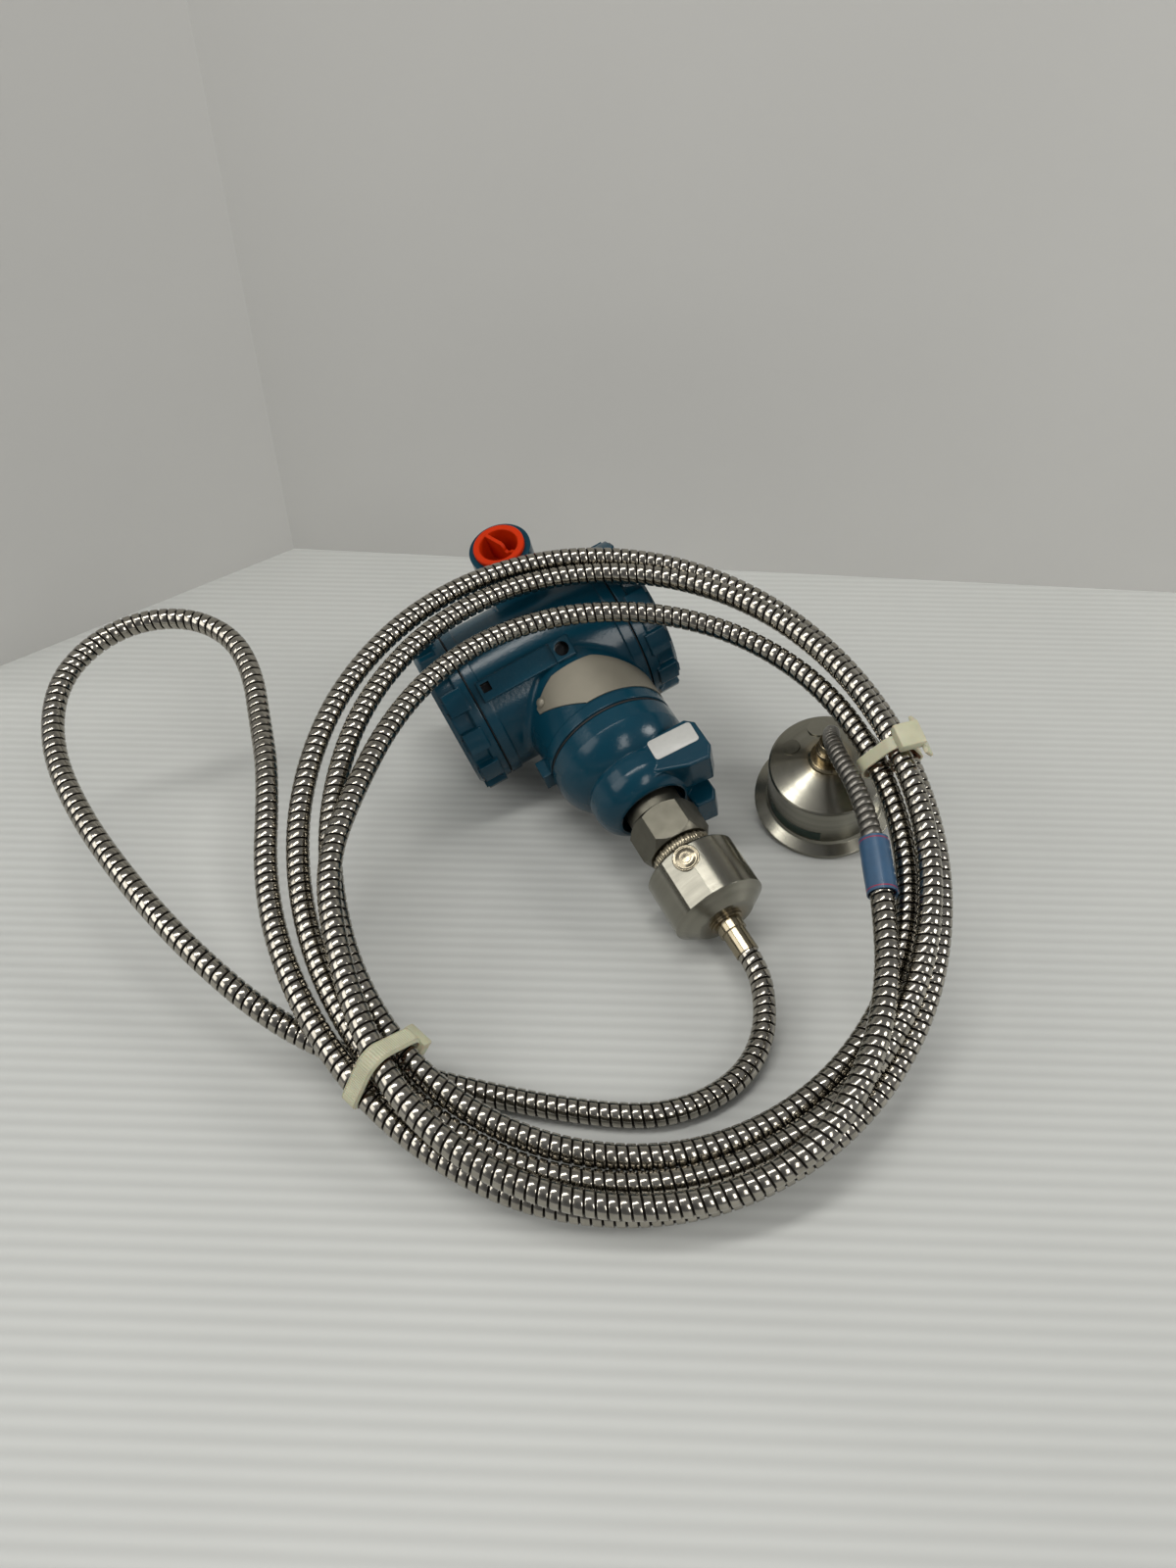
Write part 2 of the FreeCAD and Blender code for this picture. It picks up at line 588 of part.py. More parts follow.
def coil_point(angle):
    turns = (angle - COIL_START) / 360.0
    gather = 1 - COIL_GATHER * max(0.0, math.cos(math.radians(angle - LEFT_TIE))) ** 8
    step = COIL_STEP - COIL_EASE * math.cos(math.radians(angle))
    radius = COIL_R + COIL_OVAL * math.cos(math.radians(2 * (angle - COIL_OVAL_TURN)))
    radius -= step * (turns % 1 + 0.5 + (turns // 1 - 1) * gather)
    last = (turns - COIL_TURNS) * 360.0 + COIL_SAG_SPAN
    if last > 0:
        radius -= COIL_SAG * math.sin(math.pi * last / COIL_SAG_SPAN) ** 2
    lift = COIL_LIFT * max(0.0, math.cos(math.radians(angle))) if 1 < turns < 2 else 0.0
    outwards, _, normal = coil_axes(angle)
    return COIL_CENTRE + outwards * radius + normal * lift


def coil_points():
    count = COIL_TURNS * COIL_POINTS
    return [coil_point(COIL_START + 360.0 * k / COIL_POINTS) for k in range(count)]


def rounded_path(points):
    # Straight runs joined by tangent arcs
    edges = []
    radii = []
    start = points[0]
    for before, corner, after in zip(points, points[1:], points[2:]):
        back = (before - corner).normalize()
        on = (after - corner).normalize()
        cut = 0.45 * min((before - corner).Length, (after - corner).Length)
        half = (math.pi - back.getAngle(on)) / 2
        radius = cut / math.tan(half)
        middle = corner + (back + on).normalize() * (radius / math.cos(half) - radius)
        edges.append(Part.LineSegment(start, corner + back * cut).toShape())
        edges.append(Part.Arc(corner + back * cut, middle, corner + on * cut).toShape())
        radii.append(radius)
        start = corner + on * cut
    edges.append(Part.LineSegment(start, points[-1]).toShape())
    return Part.Wire(edges), radii


def tube(points, name):
    path, radii = rounded_path(points)
    heading = (points[1] - points[0]).normalize()
    section = Part.Wire(Part.makeCircle(CAPILLARY_D / 2, points[0], heading))
    shape = path.makePipeShell([section], True, False)
    plain = math.pi * (CAPILLARY_D / 2) ** 2 * path.Length
    print("%s length %.0f least radius %.1f volume ratio %.3f" % (name, path.Length, min(radii),
                                                                 shape.Volume / plain))
    print("  radii " + " ".join("%.0f" % radius for radius in radii))
    return shape


def capillary():
    # Three tubes that meet face to face halfway along a straight run
    leave = [TX_POSE.multVec(V(0, FITTING_END - run, 0)) for run in (0, EXIT_RUN)]
    arrive = [SEAL_POSE.multVec(V(0, 0, SEAL_SLEEVE_Z + run)) for run in (ARRIVE_RUN, 0)]
    lead = leave + [V(*point) for point in LEAD_ROUTE]
    coil = coil_points()
    tail = [V(*point) for point in SEAL_ROUTE] + arrive
    first = (lead[-1] + coil[0]) * 0.5
    second = (coil[-1] + tail[0]) * 0.5
    print("leaves", leave, "arrives", arrive)
    return (tube(lead + [first], "capillary_lead"), tube([first] + coil + [second], "capillary_coil"),
            tube([second] + tail, "seal_lead"))


def strands_at(angle):
    # Distance out and off the plane of each turn that passes an angle of the coil
    outwards, _, normal = coil_axes(angle)
    inset = COIL_R * (1 - math.cos(math.pi / COIL_POINTS))
    first = angle + 360.0 * math.ceil((COIL_START - angle) / 360.0)
    places = [coil_point(first + 360.0 * k) - COIL_CENTRE for k in range(COIL_TURNS)]
    return [(place.dot(outwards) - inset, place.dot(normal)) for place in places]


def tie_head(strand, turn, start):
    # Head of a tie against one strand, turned round it
    crest = CAPILLARY_D / 2 + TIE_SLACK + TIE_T / 2
    half = TIE_HEAD_W / 2
    head = box(start, start + TIE_HEAD_L, -half, half, crest, crest + TIE_HEAD_T)
    head = head.makeFillet(EDGE_FILLET, head.Edges)
    head.rotate(V(0, 0, 0), V(0, 1, 0), turn)
    head.translate(V(strand[0], 0, strand[1]))
    return head


def tie(angle, corners, head):
    # Nylon strap drawn snug round the outermost strands
    outline = Part.makePolygon([V(r, 0, n) for r, n in corners + corners[:1]])
    inner = Part.Face(outline.makeOffset2D(CAPILLARY_D / 2 + TIE_SLACK))
    outer = Part.Face(outline.makeOffset2D(CAPILLARY_D / 2 + TIE_SLACK + TIE_T))
    strap = outer.cut(inner).extrude(V(0, TIE_W, 0))
    strap.translate(V(0, -TIE_W / 2, 0))
    shape = strap.fuse(head)
    outwards, along, normal = coil_axes(angle)
    pose = FreeCAD.Placement(COIL_CENTRE, FreeCAD.Rotation(outwards, along, normal, "XYZ"))
    shape.transformShape(pose.toMatrix())
    return shape


def tag_sleeve():
    a = V(*TAG_FROM)
    b = V(*TAG_TO)
    inner = CAPILLARY_D / 2 + TAG_GAP
    shape = ring(inner + TAG_T, inner, -TAG_L / 2, TAG_L / 2, "z")
    pose = FreeCAD.Placement((a + b) * 0.5, FreeCAD.Rotation(V(0, 0, 1), b - a))
    shape.transformShape(pose.toMatrix())
    return shape


transmitter = {
    "housing": housing(),
    "terminal_cover": placed_cover(-1),
    "electronics_cover": placed_cover(1),
    "terminal_gasket": gasket(-1),
    "electronics_gasket": gasket(1),
    "conduit_plug": conduit_plug(),
    "blanking_plug": blanking_plug(),
    "nameplate": nameplate(),
    "nameplate_screw": plate_screw(),
    "terminal_block": terminal_block(),
    "terminal_screws": terminal_screws(),
    "electronics_module": electronics_module(),
    "neck_seal": ring(NECK_R + COLLAR_RISE - 0.7, NECK_BORE_R, MODULE_TOP, NECK_END, "y"),
    "sensor_module": sensor_module(),
    "hex_connection": hex_connection(),
    "weld_bead": weld_bead(),
    "seal_adapter": seal_adapter(),
    "adapter_fill_plug": adapter_fill_plug(),
    "capillary_fitting": capillary_fitting(),
}
seal = {
    "seal_body": seal_body(),
    "diaphragm": diaphragm(),
    "seal_fitting": seal_fitting(),
    "seal_fill_plug": seal_weld_plug(150, 4.0),
    "seal_port_plug": seal_weld_plug(95, 5.5),
    "tape_band": tape_band(),
}
rigid = [save(shape, name, TX_POSE) for name, shape in transmitter.items()]
rigid += [save(shape, name, SEAL_POSE) for name, shape in seal.items()]
lead_tube, coil_tube, tail_tube = capillary()
left = strands_at(LEFT_TIE)
right = strands_at(RIGHT_TIE)
left_head = tie_head(left[-1], LEFT_HEAD_TURN, 2 - TIE_HEAD_L)
right_head = tie_head(right[1], 0, -2)
cords = {
    "capillary_lead": lead_tube,
    "capillary_coil": coil_tube,
    "seal_lead": tail_tube,
    "left_tie": tie(LEFT_TIE, [left[0], TAIL_AT_TIE, left[-1]], left_head),
    "right_tie": tie(RIGHT_TIE, right, right_head),
    "tag_sleeve": tag_sleeve(),
}
for name, shape in cords.items():
    save(shape, name, FreeCAD.Placement())
print("rigid box", Part.makeCompound(rigid).BoundBox)
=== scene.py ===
from bisect import bisect
import math
import bmesh
import bpy
from mathutils import Matrix, Vector


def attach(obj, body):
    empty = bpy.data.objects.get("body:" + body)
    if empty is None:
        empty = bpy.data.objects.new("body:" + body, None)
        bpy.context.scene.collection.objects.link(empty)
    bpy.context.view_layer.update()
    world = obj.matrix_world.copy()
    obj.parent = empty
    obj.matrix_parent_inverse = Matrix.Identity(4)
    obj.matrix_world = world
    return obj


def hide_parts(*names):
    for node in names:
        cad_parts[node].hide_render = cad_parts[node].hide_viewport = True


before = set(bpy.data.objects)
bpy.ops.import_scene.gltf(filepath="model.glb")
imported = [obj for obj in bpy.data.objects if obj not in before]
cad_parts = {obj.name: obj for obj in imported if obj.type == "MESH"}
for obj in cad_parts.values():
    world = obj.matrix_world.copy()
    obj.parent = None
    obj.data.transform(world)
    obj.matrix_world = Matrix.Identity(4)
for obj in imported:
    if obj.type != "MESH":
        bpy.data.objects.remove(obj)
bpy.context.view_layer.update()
mm = 0.001
print("frame loaded,", len(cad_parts), "nodes")

# Resting poses from the part: the transmitter's covers turn on its X, its neck points along -Y
transmitter = {"place": (-44.05, 43.5, 54.715), "yaw": 23.43, "pitch": -18.5, "roll": 14.145}
sealPose = {"place": (81.86, -7.09, 11.02), "axis": (-0.124, -0.327, 0.937)}


def transmitterFrame():
    turn = Matrix.Rotation(math.radians(transmitter["yaw"]), 4, "Z")
    turn = turn @ Matrix.Rotation(math.radians(transmitter["pitch"]), 4, "Y")
    turn = turn @ Matrix.Rotation(math.radians(transmitter["roll"]), 4, "X")
    return Matrix.Translation(Vector(transmitter["place"]) * mm) @ turn


def diaphragmSealFrame():
    turn = Vector((0, 0, 1)).rotation_difference(Vector(sealPose["axis"]).normalized())
    return Matrix.Translation(Vector(sealPose["place"]) * mm) @ turn.to_matrix().to_4x4()


bodyFrame = transmitterFrame()
sealFrame = diaphragmSealFrame()


# Node helpers

def newMaterial(name, values):
    material = bpy.data.materials.new(name)
    material.use_nodes = True
    tree = material.node_tree
    shader = tree.nodes["Principled BSDF"]
    feed(tree, shader, values)
    return material, tree, shader


def feed(tree, node, values):
    for key, value in values.items():
        if isinstance(value, bpy.types.NodeSocket):
            tree.links.new(value, node.inputs[key])
        else:
            node.inputs[key].default_value = value


def addNode(tree, kind, values, output=0, **settings):
    node = tree.nodes.new("ShaderNode" + kind)
    for key, value in settings.items():
        setattr(node, key, value)
    feed(tree, node, values)
    return node.outputs[output]


def piecePoint(tree, pose=None):
    # Object coordinates, turned into a piece's own frame where a pose is given
    point = addNode(tree, "TexCoord", {}, "Object")
    if pose is None:
        return point
    inverse = pose.inverted()
    return addNode(tree, "Mapping", {"Vector": point, "Location": inverse.to_translation(),
                                     "Rotation": inverse.to_euler("XYZ")})


def grain(tree, point, scale, detail=3.0, roughness=0.5):
    return addNode(tree, "TexNoise", {"Vector": point, "Scale": scale, "Detail": detail,
                                      "Roughness": roughness})


def spread(tree, value, low, high, start=0.0, end=1.0):
    return addNode(tree, "MapRange", {"Value": value, "From Min": start, "From Max": end,
                                      "To Min": low, "To Max": high})


def blendColours(tree, factor, first, second):
    # 0, 6 and 7 are the factor and the two colours of a colour mix
    colours = [part if isinstance(part, bpy.types.NodeSocket) else (*part, 1) for part in (first, second)]
    return addNode(tree, "Mix", {0: factor, 6: colours[0], 7: colours[1]}, 2, data_type="RGBA")


def shade(colour, share):
    return tuple(share * part for part in colour)


def addBump(tree, shader, height, strength, distance, edge=0.0):
    values = {"Height": height, "Strength": strength, "Distance": distance}
    if edge:
        values["Normal"] = addNode(tree, "Bevel", {"Radius": edge}, samples=6)
    feed(tree, shader, {"Normal": addNode(tree, "Bump", values)})


def between(tree, value, middle, half):
    # 1 where a length in metres is within half of the middle, both in mm
    return addNode(tree, "Math", {0: value, 1: middle * mm, 2: half * mm}, operation="COMPARE")


def multiply(tree, *values):
    product = values[0]
    for value in values[1:]:
        product = addNode(tree, "Math", {0: product, 1: value}, operation="MULTIPLY")
    return product


def latheCoordinates(tree, point, axis):
    # How far along the axis and how far from it
    parts = [addNode(tree, "SeparateXYZ", {"Vector": point}, name) for name in "XYZ"]
    place = "XYZ".index(axis)
    others = [part for index, part in enumerate(parts) if index != place]
    flat = addNode(tree, "CombineXYZ", {"X": others[0], "Y": others[1]})
    away = addNode(tree, "VectorMath", {0: flat}, "Value", operation="LENGTH")
    return parts[place], away


# Materials, each with what a user would change beside it

def castPaint():
    # Places along, across and out are a middle and a half width in mm, square to the strip on the barrel
    settings = {"colour": (0.0026, 0.04, 0.066), "deep": (0.0022, 0.031, 0.053), "dust": (0.09, 0.12, 0.13),
                "dusty": 0.14, "rough": (0.15, 0.23), "edge": 0.9 * mm, "peel": 0.1,
                "holeShade": (0.002, 0.003, 0.004), "stripTurn": 32.3, "boreAt": (0.1, 0, 0), "boreRadius": 3.28,
                "boreOut": (36.4, 3.6), "notchAlong": (-37.4, 2.18), "notchAcross": (1.1, 2.18),
                "notchOut": (36.2, 2.7)}
    material, tree, shader = newMaterial("blueEnamel", {"Specular IOR Level": 0.3})
    point = piecePoint(tree, bodyFrame)
    clouds = spread(tree, grain(tree, point, 30.0, 4.0), 0.0, 1.0, 0.35, 0.75)
    dust = spread(tree, grain(tree, point, 420.0, 3.0, 0.6), 0.0, settings["dusty"], 0.62, 0.8)
    coloured = blendColours(tree, clouds, settings["colour"], settings["deep"])
    coloured = blendColours(tree, dust, coloured, settings["dust"])
    upright = addNode(tree, "Mapping", {"Vector": point,
                                        "Rotation": (math.radians(-settings["stripTurn"]), 0, 0)})
    along, across, out = [addNode(tree, "SeparateXYZ", {"Vector": upright}, name) for name in "XYZ"]
    flat = addNode(tree, "CombineXYZ", {"X": along, "Y": across})
    reach = addNode(tree, "VectorMath", {0: flat, 1: Vector(settings["boreAt"]) * mm}, "Value",
                    operation="DISTANCE")
    # Painted shade: inside the pad's bore and the strip's square notch the colour goes near black, as shade
    # falls there
    bore = multiply(tree, between(tree, reach, 0.0, settings["boreRadius"]),
                    between(tree, out, *settings["boreOut"]))
    notch = multiply(tree, between(tree, along, *settings["notchAlong"]),
                     between(tree, across, *settings["notchAcross"]),
                     between(tree, out, *settings["notchOut"]))
    paintedHoleShade = addNode(tree, "Math", {0: bore, 1: notch}, operation="MAXIMUM")
    feed(tree, shader, {"Base Color": blendColours(tree, paintedHoleShade, coloured, settings["holeShade"]),
                        "Roughness": spread(tree, grain(tree, point, 170.0, 5.0), *settings["rough"])})
    skin = addNode(tree, "Math", {0: grain(tree, point, 650.0, 2.0), 1: grain(tree, point, 90.0, 2.0)},
                   operation="ADD")
    addBump(tree, shader, skin, settings["peel"], 0.0005, settings["edge"])
    return material


def turnedSteel(name, pose, axis, settings):
    # Fine lathe lines, highlights drawn out across them as on a turned face, and heat tint round the weld
    material, tree, shader = newMaterial(name, {"Metallic": 1.0, "Anisotropic": settings["stretch"],
                                                "Anisotropic Rotation": 0.25})
    point = piecePoint(tree, pose)
    along, away = latheCoordinates(tree, point, axis)
    track = addNode(tree, "CombineXYZ", {"X": along, "Y": away})
    cuts = grain(tree, track, 2400.0, 2.0, 0.7)
    bands = spread(tree, grain(tree, track, 320.0, 2.0, 0.6), 0.0, 1.0, 0.35, 0.65)
    near = addNode(tree, "VectorMath", {0: point, 1: Vector(settings["weld"]) * mm}, "Value",
                   operation="DISTANCE")
    heat = spread(tree, near, 0.8, 0.0, settings["tintFrom"] * mm, settings["tintTo"] * mm)
    steel = blendColours(tree, bands, settings["colour"], shade(settings["colour"], 0.86))
    feed(tree, shader, {"Base Color": blendColours(tree, heat, steel, settings["tint"]),
                        "Roughness": spread(tree, bands, *settings["rough"])})
    spindle = pose.to_3x3().col["XYZ".index(axis)].normalized()
    arm = addNode(tree, "VectorMath", {0: addNode(tree, "TexCoord", {}, "Object"), 1: pose.to_translation()},
                  operation="SUBTRACT")
    tangent = addNode(tree, "VectorMath", {0: spindle, 1: arm}, operation="CROSS_PRODUCT")
    feed(tree, shader, {"Tangent": tangent})
    addBump(tree, shader, cuts, settings["lines"], 0.0002, 0.0004)
    return material


def plainFinish(name, colour, rough, scale, bump, edge=0.0004, metallic=0.0, darkest=0.6, extra=None):
    material, tree, shader = newMaterial(name, {"Metallic": metallic, **(extra or {})})
    point = piecePoint(tree)
    speckle = grain(tree, point, scale, 4.0)
    patches = grain(tree, point, scale * 0.12, 3.0)
    tone = spread(tree, addNode(tree, "Math", {0: speckle, 1: patches}, operation="ADD"), 0.0, 1.0, 0.7, 1.5)
    feed(tree, shader, {"Base Color": blendColours(tree, tone, colour, shade(colour, darkest)),
                        "Roughness": spread(tree, tone, rough - 0.08, rough + 0.12)})
    addBump(tree, shader, speckle, bump, 0.0003, edge)
    return material


def brushedPlate():
    # Satin plate with a grain along the cover axis
    settings = {"colour": (0.26, 0.24, 0.19), "grain": (60.0, 2600.0, 2600.0), "rough": (0.42, 0.56)}
    material, tree, shader = newMaterial("satinPlate", {"Metallic": 0.55})
    point = piecePoint(tree, bodyFrame)
    stretched = addNode(tree, "VectorMath", {0: point, 1: settings["grain"]}, operation="MULTIPLY")
    strokes = addNode(tree, "TexNoise", {"Vector": stretched, "Scale": 1.0, "Detail": 3.0})
    smears = grain(tree, point, 120.0, 3.0)
    worn = shade(settings["colour"], 0.84)
    feed(tree, shader, {"Base Color": blendColours(tree, smears, settings["colour"], worn),
                        "Roughness": spread(tree, strokes, *settings["rough"])})
    addBump(tree, shader, strokes, 0.12, 0.0002, 0.0003)
    return material


def armourFinish():
    # Bright strip with painted shade, near black, in the grooves: both follow the piece's own groove and fine
    # attributes
    settings = {"bright": (0.4, 0.375, 0.325), "worn": (0.29, 0.27, 0.23), "fine": (0.2, 0.19, 0.17),
                "grooveShade": (0.014, 0.012, 0.01), "rough": (0.14, 0.21), "fineRough": 0.2, "grooveRough": 0.4}
    material, tree, shader = newMaterial("armourStrip", {"Metallic": 1.0})
    point = piecePoint(tree)
    smears = spread(tree, grain(tree, point, 160.0, 4.0), 0.0, 1.0, 0.4, 0.75)
    groove = addNode(tree, "Attribute", {}, "Fac", attribute_name="groove")
    fine = addNode(tree, "Attribute", {}, "Fac", attribute_name="fine")
    strip = blendColours(tree, smears, settings["bright"], settings["worn"])
    strip = blendColours(tree, fine, strip, settings["fine"])
    rough = addNode(tree, "Math", {0: spread(tree, smears, *settings["rough"]),
                                   1: spread(tree, fine, 0.0, settings["fineRough"])}, operation="ADD")
    rough = addNode(tree, "Math", {0: rough, 1: spread(tree, groove, 0.0, settings["grooveRough"])},
                    operation="ADD")
    feed(tree, shader, {"Base Color": blendColours(tree, groove, strip, settings["grooveShade"]), "Roughness": rough})
    addBump(tree, shader, grain(tree, point, 900.0, 2.0), 0.03, 0.0002)
    return material


blueEnamel = castPaint()
adapterSteel = turnedSteel("adapterSteel", bodyFrame, "Y", {
    "colour": (0.29, 0.28, 0.235), "tint": (0.25, 0.185, 0.095), "weld": (0, -158, 0),
    "tintFrom": 6.0, "tintTo": 11.5, "rough": (0.22, 0.27), "stretch": 0.6, "lines": 0.03})
sealSteel = turnedSteel("sealSteel", sealFrame, "Z", {
    "colour": (0.28, 0.27, 0.225), "tint": (0.31, 0.24, 0.13), "weld": (0, 0, 38.5),
    "tintFrom": 7.0, "tintTo": 13.0, "rough": (0.22, 0.27), "stretch": 0.66, "lines": 0.04})
plugSteel = plainFinish("plugSteel", (0.28, 0.27, 0.225), 0.22, 300.0, 0.04, edge=0.0, metallic=1.0,
                        darkest=0.85)
goldenSteel = plainFinish("goldenSteel", (0.33, 0.285, 0.2), 0.16, 300.0, 0.04, metallic=1.0, darkest=0.8)
milledSteel = plainFinish("milledSteel", (0.16, 0.152, 0.122), 0.4, 240.0, 0.06, metallic=1.0, darkest=0.82)
weldSteel = plainFinish("weldSteel", (0.34, 0.3, 0.22), 0.26, 420.0, 0.2, edge=0.0, metallic=1.0)
satinPlate = brushedPlate()
blackRubber = plainFinish("blackRubber", (0.009, 0.009, 0.01), 0.6, 400.0, 0.2)
orangePlastic = plainFinish("orangePlastic", (0.55, 0.028, 0.001), 0.48, 260.0, 0.1, darkest=0.8,
                            extra={"Specular IOR Level": 0.1})
blackPlastic = plainFinish("blackPlastic", (0.02, 0.02, 0.022), 0.5, 300.0, 0.1)
milkyNylon = plainFinish("milkyNylon", (0.52, 0.51, 0.36), 0.4, 300.0, 0.1, darkest=0.82,
                         extra={"Subsurface Weight": 0.25, "Subsurface Scale": 0.003})
greenTape = plainFinish("greenTape", (0.008, 0.03, 0.02), 0.4, 300.0, 0.12)
whiteFilm = plainFinish("whiteFilm", (0.47, 0.47, 0.445), 0.42, 500.0, 0.04, darkest=0.88)
armourStrip = armourFinish()
print("materials made")


def dress(material, *names):
    for name in names:
        target = bpy.data.objects[name]
        if target.material_slots:
            target.material_slots[0].material = material
        else:
            target.data.materials.append(material)


dress(blueEnamel, "housing", "terminal_cover", "electronics_cover", "sensor_module")
dress(adapterSteel, "seal_adapter")
dress(milledSteel, "blanking_plug", "hex_connection")
dress(sealSteel, "seal_body", "diaphragm")
dress(plugSteel, "seal_fill_plug", "seal_port_plug")
dress(goldenSteel, "capillary_fitting", "seal_fitting")
dress(satinPlate, "nameplate", "terminal_screws")
dress(blackRubber, "terminal_gasket", "electronics_gasket", "neck_seal")
dress(blackPlastic, "terminal_block", "electronics_module")
dress(orangePlastic, "conduit_plug")   # hidden by the hand plug below
dress(greenTape, "tape_band")
print("CAD nodes dressed")


# Pieces: shapes are drawn in mm in a piece's own frame, then set in place

def setPiece(name, shape, pose, material, replaced=(), body="transmitter", sharp=38.0):
    bmesh.ops.remove_doubles(shape, verts=shape.verts, dist=0.0005)
    bmesh.ops.recalc_face_normals(shape, faces=shape.faces)
    bmesh.ops.transform(shape, matrix=pose @ Matrix.Scale(mm, 4), verts=shape.verts)
    mesh = bpy.data.meshes.new(name)
    shape.to_mesh(mesh)
    shape.free()
    return linkPiece(name, mesh, material, replaced, body, sharp)


def linkPiece(name, mesh, material, replaced, body="transmitter", sharp=38.0):
    mesh.materials.clear()
    mesh.materials.append(material)
    mesh.shade_smooth()
    mesh.set_sharp_from_angle(angle=math.radians(sharp))
    piece = bpy.data.objects.new(name, mesh)
    bpy.context.scene.collection.objects.link(piece)
    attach(piece, body)
    if replaced:
        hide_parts(*replaced)
    print("made", name, len(mesh.polygons), "faces")
    return piece


def edgesRound(verts):
    # Each edge at these vertices once, in a fixed order
    return list(dict.fromkeys(line for vert in verts for line in vert.link_edges))


def roundedBlock(shape, size, place, edge, corner=0.0, turn=None):
    # Block with rounded upright corners where corner is given, and all its edges eased
    turn = Matrix() if turn is None else turn
    matrix = Matrix.Translation(place) @ turn @ Matrix.Diagonal((*size, 1))
    verts = bmesh.ops.create_cube(shape, size=1.0, matrix=matrix)["verts"]
    lines = edgesRound(verts)
    if corner:
        up = (turn.to_3x3() @ Vector((0, 0, 1))).normalized()
        upright = [line for line in lines
                   if abs((line.verts[0].co - line.verts[1].co).normalized().dot(up)) > 0.9]
        made = bmesh.ops.bevel(shape, geom=upright, offset=corner, segments=5, profile=0.5, affect="EDGES",
                               material=-1)
        lines = edgesRound(vert for face in made["faces"] for vert in face.verts)
        lines = [line for line in lines if len(line.link_faces) == 2 and line.calc_face_angle() > 1.2]
    bmesh.ops.bevel(shape, geom=lines, offset=edge, segments=2, profile=0.5, affect="EDGES", material=-1)


def spinOutline(shape, outline, steps):
    # Outline of (radius, height) pairs spun round Z
    verts = [shape.verts.new((radius, 0, height)) for radius, height in outline]
    edges = [shape.edges.new(pair) for pair in zip(verts, verts[1:])]
    bmesh.ops.spin(shape, geom=verts + edges, cent=(0, 0, 0), axis=(0, 0, 1), dvec=(0, 0, 0),
                   angle=math.radians(360), steps=steps, use_merge=True, use_duplicate=False)


# Capillary

capillary = {
    "diameter": 9.0, "sides": 16, "pitch": 3.8, "fineLength": 87.0, "finePitch": (3.9, 1.3),
    "fineScale": (0.95, 0.76), "grooveFrom": 0.97, "grooveDepth": 0.08,
    "band": [(0.0, 0.86), (0.03, 0.978), (0.11, 1.0), (0.71, 1.0), (0.79, 0.978), (0.82, 0.86), (1.0, 0.86)],
    "wire": [(0.0, 0.88), (0.16, 0.965), (0.5, 1.0), (0.84, 0.965), (1.0, 0.88)],
    "exit": (34.963, -105.089, 14.623), "exitRun": (38.9, -112.6, 12.6),
    "above": (74.607, -26.217, 65.827), "arrive": (75.661, -23.438, 57.864)}
coil = {
    "centre": (-21.5, -81.4, 59.2), "lean": 21.7, "radius": 134.65, "oval": 6.95, "ovalTurn": 106.4,
    "step": 9.6, "ease": 3.4, "gather": 0.22, "gatherAt": 229.0, "sag": 12.0, "sagSpan": 150.0, "lift": 9.6,
    "start": 170.0, "turns": 3, "points": 16}
leadRoute = [(39.8, -125.5, 10), (38.2, -138.5, 7.7), (32, -151.5, 6), (22, -161.5, 5.1), (8.5, -169, 4.8),
             (-9, -173, 4.8), (-36, -170, 4.8), (-64, -164, 5), (-92, -159, 9), (-120, -154, 16),
             (-147, -144, 26), (-176, -125, 38.5), (-204, -100, 48), (-230, -72, 58.5), (-249, -43, 69),
             (-254, -15, 80), (-245, 6, 87), (-227, 18, 92), (-204, 20, 93), (-184, 11, 89),
             (-172, -7, 82.5), (-165, -31, 73.5)]
sealRoute = [(-123, -80, 68.2), (-126, -105, 61.2), (-120, -130.5, 51), (-109, -157, 40.6),
             (-93, -182, 31), (-68, -201, 23.1), (-38, -212, 18.8), (-7, -215, 17.9), (23, -210, 20.9),
             (48, -198, 29.6), (66, -176, 40.3), (77, -146, 47.4), (80, -115, 55.2), (80, -87, 63.3),
             (77, -66, 69), (72.5, -52, 71.5), (71, -39, 71.5)]


def coilAxes(angle):
    lean = math.radians(coil["lean"])
    uphill = Vector((0, math.cos(lean), math.sin(lean)))
    normal = Vector((0, -math.sin(lean), math.cos(lean)))
    outwards = Vector((1, 0, 0)) * math.cos(math.radians(angle)) + uphill * math.sin(math.radians(angle))
    return outwards, normal.cross(outwards), normal


def coilPoint(angle):
    turns = (angle - coil["start"]) / 360
    near = max(0.0, math.cos(math.radians(angle - coil["gatherAt"]))) ** 8
    gather = 1 - coil["gather"] * near
    step = coil["step"] - coil["ease"] * math.cos(math.radians(angle))
    radius = coil["radius"] + coil["oval"] * math.cos(math.radians(2 * (angle - coil["ovalTurn"])))
    radius -= step * (turns % 1 + 0.5 + (turns // 1 - 1) * gather)
    last = (turns - coil["turns"]) * 360 + coil["sagSpan"]
    if last > 0:
        radius -= coil["sag"] * math.sin(math.pi * last / coil["sagSpan"]) ** 2
    lift = coil["lift"] * max(0.0, math.cos(math.radians(angle))) if 1 < turns < 2 else 0.0
    outwards, along, normal = coilAxes(angle)
    return Vector(coil["centre"]) + outwards * radius + normal * lift


def routePoints():
    points = [capillary["exit"], capillary["exitRun"]] + leadRoute
    count = coil["turns"] * coil["points"]
    points += [coilPoint(coil["start"] + 360 * k / coil["points"]) for k in range(count)]
    points += sealRoute + [capillary["above"], capillary["arrive"]]
    return [Vector(point) * mm for point in points]


